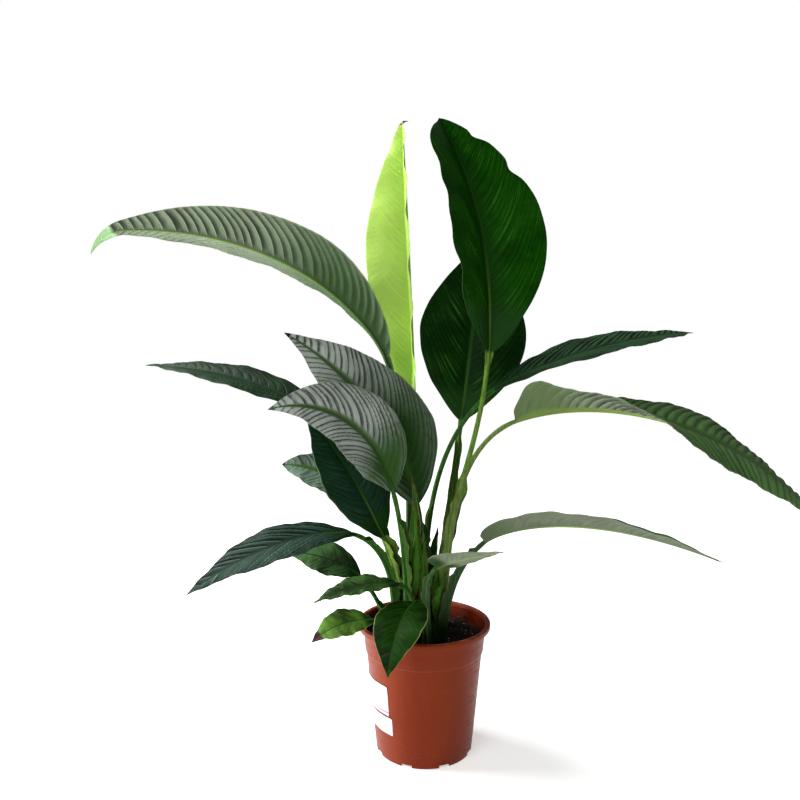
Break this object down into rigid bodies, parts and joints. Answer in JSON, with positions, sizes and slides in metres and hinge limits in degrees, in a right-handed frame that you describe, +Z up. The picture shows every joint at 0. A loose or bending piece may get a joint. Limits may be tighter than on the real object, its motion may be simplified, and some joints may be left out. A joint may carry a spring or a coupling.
{
  "type": "potted peace lily",
  "caption": "Large peace lily, leaves only, growing in a round terracotta-coloured plastic nursery pot with two blank stickers.",
  "frame": {"origin": "the middle of the pot's foot, on the surface that it stands on", "axes": "+Z up along the pot's axis, +X to the right of the pictured view, along the plant's longest spread, and -Y towards the viewer"},
  "size_m": [1.0432, 0.4197, 0.9564],
  "materials": {
    "pot_plastic": "terracotta-coloured injection-moulded plastic, satin",
    "potting_mix": null,
    "sticker": "white sticker, blank, with a thin magenta line",
    "leaf_mature": null,
    "leaf_lime": null
  },
  "bodies": {
    "root": {"pot": "pot_plastic", "soil": "potting_mix", "label_upper": "sticker", "label_lower": "sticker", "leaf_01": "leaf_mature", "leaf_02": "leaf_lime", "leaf_03": "leaf_mature", "leaf_04": "leaf_mature", "leaf_05": "leaf_mature", "leaf_06": "leaf_mature", "leaf_07": "leaf_mature", "leaf_08": "leaf_mature", "leaf_09": "leaf_mature", "leaf_10": "leaf_mature", "leaf_11": "leaf_mature", "leaf_12": "leaf_mature", "leaf_13": "leaf_mature", "leaf_14": "leaf_mature", "leaf_15": "leaf_mature", "leaf_16": "leaf_mature", "leaf_17": "leaf_mature", "leaf_18": "leaf_mature", "young_leaf": "leaf_lime"}
  },
  "joints": []
}
